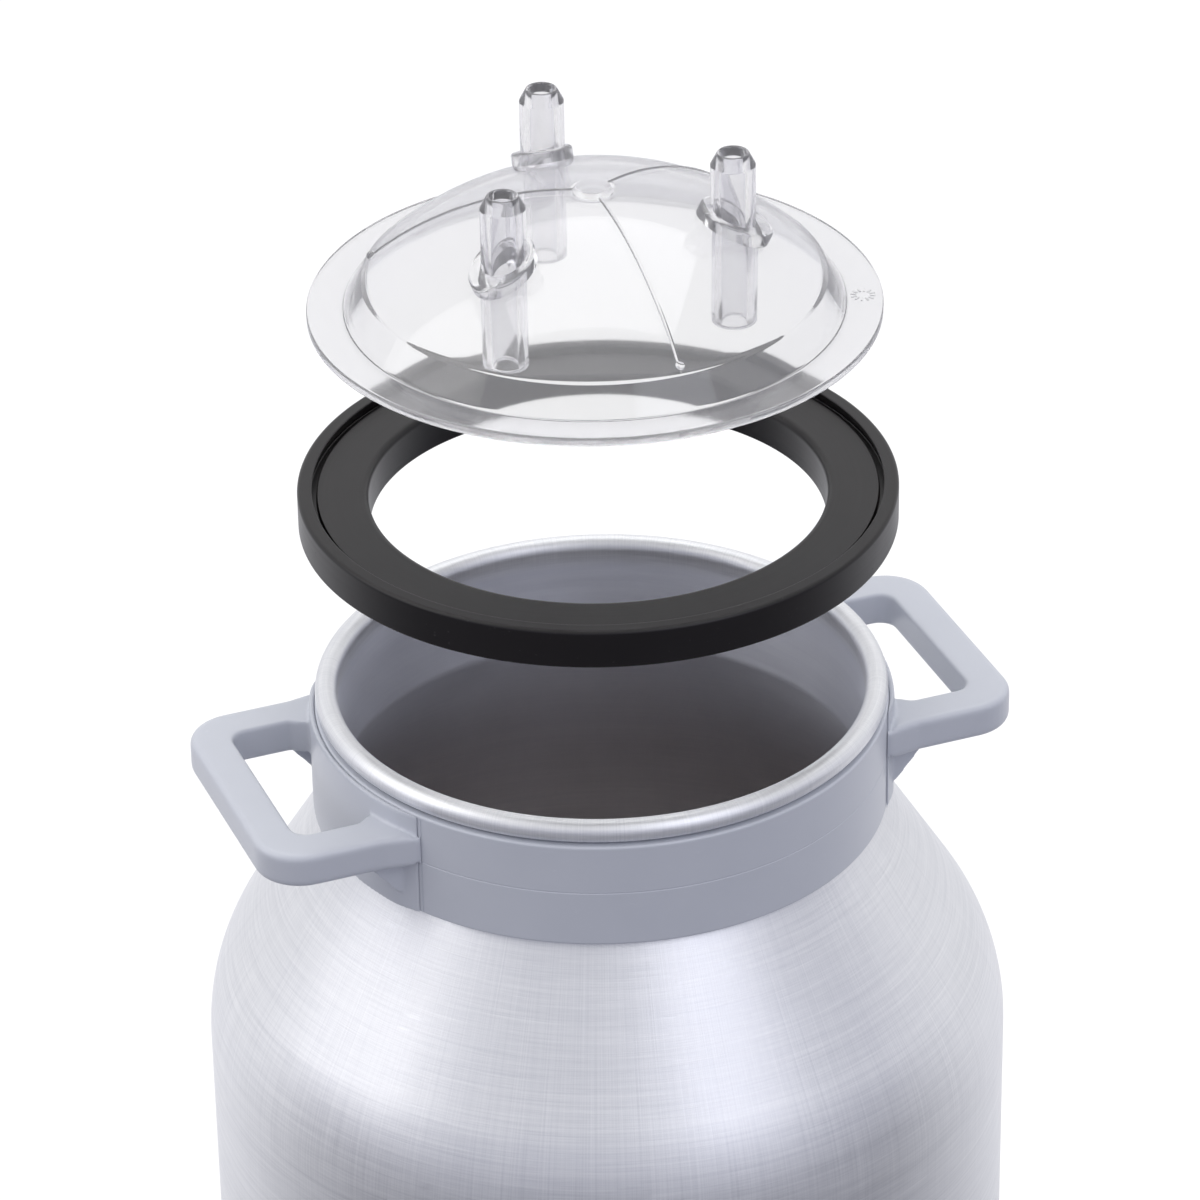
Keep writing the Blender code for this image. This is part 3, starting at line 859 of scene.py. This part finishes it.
def lid_profile():
    """The lid's section: hub, dome, sloping step, flat flange, and back along the inside."""
    inner_edge, inner_dome = DOME_EDGE - LID_THICKNESS, DOME_RADIUS - LID_THICKNESS
    hub_z = DOME_CENTRE + DOME_RADIUS + HUB_HEIGHT
    hub = rounded(
        [
            (0, hub_z),
            (HUB_RADIUS - 1 * MM, hub_z, 0.7 * MM),
            (HUB_RADIUS, hub_z - HUB_HEIGHT - 0.05 * MM),
        ],
        closed=False,
    )
    dome = dome_line(DOME_RADIUS, HUB_RADIUS + 0.6 * MM, DOME_EDGE - 1.6 * MM, DOME_STEPS)
    foot = rounded(
        [
            dome[-1],
            (DOME_EDGE, DOME_FOOT + 0.1 * MM, 2.2 * MM),
            (STEP_RADIUS, LID_FOOT + LID_THICKNESS, 1.2 * MM),
            (LID_RADIUS, LID_FOOT + LID_THICKNESS, 0.7 * MM),
            (LID_RADIUS, LID_FOOT, 0.6 * MM),
            (STEP_RADIUS - LID_THICKNESS, LID_FOOT, 0.8 * MM),
            (inner_edge, DOME_CENTRE + math.sqrt(inner_dome**2 - inner_edge**2)),
        ],
        closed=False,
    )
    inside = dome_line(inner_dome, inner_edge - 0.8 * MM, 0, DOME_STEPS)
    inside[-1] = (0, inside[-1][1])
    return hub + dome[:-1] + supported(foot) + inside


def combine(obj, other, operation):
    """Joins the other mesh to this one, or cuts it away, and removes it."""
    boolean = obj.modifiers.new("combine", "BOOLEAN")
    boolean.operation = operation
    boolean.solver = "EXACT"
    boolean.object = other
    plain_mesh(obj)
    bpy.data.objects.remove(other)


def make_boss(tree, angle, material):
    """An oval disc with a rounded rim that lies on the dome where a tube passes through it."""
    top, foot = BOSS_HEIGHT / BOSS_ACROSS, -BOSS_DEPTH / BOSS_ACROSS
    rim = rounded([(0, top), (1, top, BOSS_ROUNDING), (1, foot), (0, foot)], closed=False)
    boss = turned("boss", tree, rim, material, BOSS_STEPS)
    stretch = Matrix.Diagonal((BOSS_ALONG, BOSS_ACROSS, BOSS_ACROSS, 1))
    lean = Matrix.Rotation(math.asin(TUBE_CIRCLE / DOME_RADIUS), 4, "Y")
    spot = Matrix.Translation((0, 0, DOME_CENTRE)) @ Matrix.Rotation(angle, 4, "Z")
    boss.data.transform(spot @ lean @ Matrix.Translation((0, 0, DOME_RADIUS)) @ stretch)
    return boss


def tube_spot(angle):
    """The move that takes a tube from the axis to its place on the lid."""
    return Matrix.Translation((TUBE_CIRCLE * math.cos(angle), TUBE_CIRCLE * math.sin(angle), 0))


def make_lid(tree, material):
    """The lid's moulding with its bosses, ribs and ticks joined on and its tubes' bores cut."""
    lid = turned("lid_moulding", tree, lid_profile(), material, LID_STEPS)
    for angle in TUBE_ANGLES:
        combine(lid, make_boss(tree, angle, material), "UNION")
    ribs = grown(
        "ribs", ribs_tree(), Count=RIB_COUNT, First_Angle=RIB_FIRST, Dome_Radius=DOME_RADIUS,
        Dome_Centre=DOME_CENTRE, Start_Radius=RIB_START, End_Radius=RIB_END,
        Width=RIB_WIDTH, Height=RIB_HEIGHT, Nub=RIB_NUB, Material=material,
    )
    combine(lid, ribs, "UNION")
    x, y = MARK_RADIUS * math.cos(MARK_ANGLE), MARK_RADIUS * math.sin(MARK_ANGLE)
    ticks = grown(
        "ticks", tick_ring_tree(), Count=TICK_COUNT, Ring_Radius=TICK_RING_RADIUS,
        Centre=(x, y, LID_FOOT + LID_THICKNESS), Tick_Length=TICK_LENGTH,
        Tick_Width=TICK_WIDTH, Tick_Height=TICK_HEIGHT, Material=material,
    )
    combine(lid, ticks, "UNION")
    fit = TUBE_RADIUS + BOSS_FIT
    for angle in TUBE_ANGLES:
        wall = [(0, LID_FOOT), (fit, LID_FOOT), (fit, TUBE_TOP), (0, TUBE_TOP)]
        bore = turned("bore", tree, wall, material, TUBE_STEPS)
        bore.data.transform(tube_spot(angle))
        combine(lid, bore, "DIFFERENCE")
    return lid


def make_tube(name, tree, angle, material):
    """One straight tube, open at both ends, with a chamfered tip and a rounded mouth."""
    profile = rounded(
        [
            (TUBE_BORE, TUBE_TOP, 0.5 * MM),
            (TUBE_TIP, TUBE_TOP, 0.5 * MM),
            (TUBE_RADIUS, TUBE_TOP - TUBE_CHAMFER, 1.2 * MM),
            (TUBE_RADIUS, TUBE_BOTTOM, 0.4 * MM),
            (TUBE_BORE, TUBE_BOTTOM, 0.4 * MM),
        ]
    )
    tube = turned(name, tree, supported(profile + profile[:1]), material, TUBE_STEPS)
    tube.data.transform(tube_spot(angle))
    return tube


def smooth_by_angle(obj, degrees=35):
    """Smooth faces that meet at less than the angle, and sharp edges elsewhere."""
    mesh = obj.data
    mesh.shade_smooth()
    shape = bmesh.new()
    shape.from_mesh(mesh)
    for edge in shape.edges:
        edge.smooth = edge.calc_face_angle(0) < math.radians(degrees)
    shape.to_mesh(mesh)
    shape.free()


def studio_point(azimuth, elevation, distance, target=(0, 0, CAN_TOP)):
    """The point this far from the target, at angles counted as the camera's."""
    a, e = math.radians(azimuth), math.radians(elevation)
    back = Vector((math.sin(a) * math.cos(e), -math.cos(a) * math.cos(e), math.sin(e)))
    return Vector(target) + back * distance


def aimed(obj, target, roll=0.0):
    """Turns a camera or light at its place towards the target."""
    aim = (Vector(target) - obj.location).to_track_quat("-Z", "Y")
    turn = aim.to_matrix() @ Matrix.Rotation(math.radians(roll), 3, "Z")
    obj.rotation_euler = turn.to_euler()


def make_camera():
    """The camera, with a long lens."""
    data = bpy.data.cameras.new("camera")
    data.lens = LENS
    data.sensor_width = SENSOR
    data.clip_end = VIEW_LIMIT
    camera = new_object("camera", data)
    camera.location = studio_point(
        CAMERA_AZIMUTH, CAMERA_ELEVATION, CAMERA_DISTANCE, CAMERA_AIM
    )
    aimed(camera, CAMERA_AIM, CAMERA_ROLL)
    bpy.context.scene.camera = camera


def make_light(name, azimuth, elevation, distance, size, power, colour):
    """A softbox that points at the can's top."""
    data = bpy.data.lights.new(name, "AREA")
    data.shape = "RECTANGLE"
    data.size, data.size_y = size
    data.energy = power
    data.color = colour
    light = new_object(name, data)
    light.location = studio_point(CAMERA_AZIMUTH + azimuth, elevation, distance)
    aimed(light, (0, 0, CAN_TOP))


def make_world():
    """A pale room, brighter behind the can than in front of it, and white where it is seen directly."""
    world = bpy.data.worlds.new("studio")
    world.use_nodes = True
    bpy.context.scene.world = world
    w = Wire(world.node_tree)
    way = w.add("ShaderNodeSeparateXYZ", {0: w.add("ShaderNodeTexCoord")})
    away = studio_point(CAMERA_AZIMUTH + 180, 0, 1, (0, 0, 0))
    behind = (way * away.x + way.other(1) * away.y).ramp(-0.35, 0.75)
    walls = w.blend(behind, *WALLS)
    room = w.blend(way.other(2).ramp(0.1, 0.8), walls, CEILING)
    path = w.add("ShaderNodeLightPath")
    seen = w.maths("MAXIMUM", path, path.other("Is Transmission Ray"))
    colour = w.blend(seen, room, WHITE)
    background = world.node_tree.nodes["Background"]
    w.tree.links.new(colour.socket, background.inputs["Color"])


def make_floor():
    """A wide round floor, staged so that it is no part of the bucket."""
    mesh = bpy.data.meshes.new("floor")
    rim = arc((0, 0), FLOOR_RADIUS, 0, 360 - 360 / FLOOR_SIDES, FLOOR_SIDES - 1)
    mesh.from_pydata([(x, y, 0) for x, y in rim], [], [tuple(range(FLOOR_SIDES))])
    floor = new_object("floor", mesh)
    mesh.materials.append(floor_finish())


def main():
    """Makes every piece, places it in the frame, and sets the studio round it."""
    turning = turning_tree()
    metal, plastic, rubber = spun_aluminium(), satin_plastic(), black_rubber()
    clear = clear_plastic("clear_lid_plastic", LID_CLEARNESS, *LID_PLASTIC)
    clearer = clear_plastic("clear_tube_plastic", TUBE_CLEARNESS, *TUBE_PLASTIC)
    pieces = [
        (make_can(turning, metal), "can", "can_shell", "spun_aluminium"),
        (make_base_ring(turning, plastic), "can", "base_ring", "grey_plastic"),
        (make_collar(turning, plastic), "can", "neck_collar", "grey_plastic"),
        (make_handle("right_loop_handle", 0, plastic), "can", "handle_right", "grey_plastic"),
        (make_handle("left_loop_handle", math.pi, plastic), "can", "handle_left", "grey_plastic"),
        (make_gasket(turning, rubber), "gasket", "gasket", "black_rubber"),
        (make_lid(turning, clear), "lid", "lid_dome", "clear_plastic"),
    ]
    for number, angle in enumerate(TUBE_ANGLES, 1):
        tube = make_tube(f"hose_tube_{number}", turning, angle, clearer)
        pieces.append((tube, "lid", f"lid_tube_{number}", "clear_plastic"))
    for piece, body, node, slot in pieces:
        smooth_by_angle(piece)
        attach(piece, body)
        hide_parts(node)
    make_floor()
    make_world()
    for softbox in SOFTBOXES:
        make_light(*softbox)
    make_camera()
    bpy.context.scene.view_settings.view_transform = "Standard"


main()
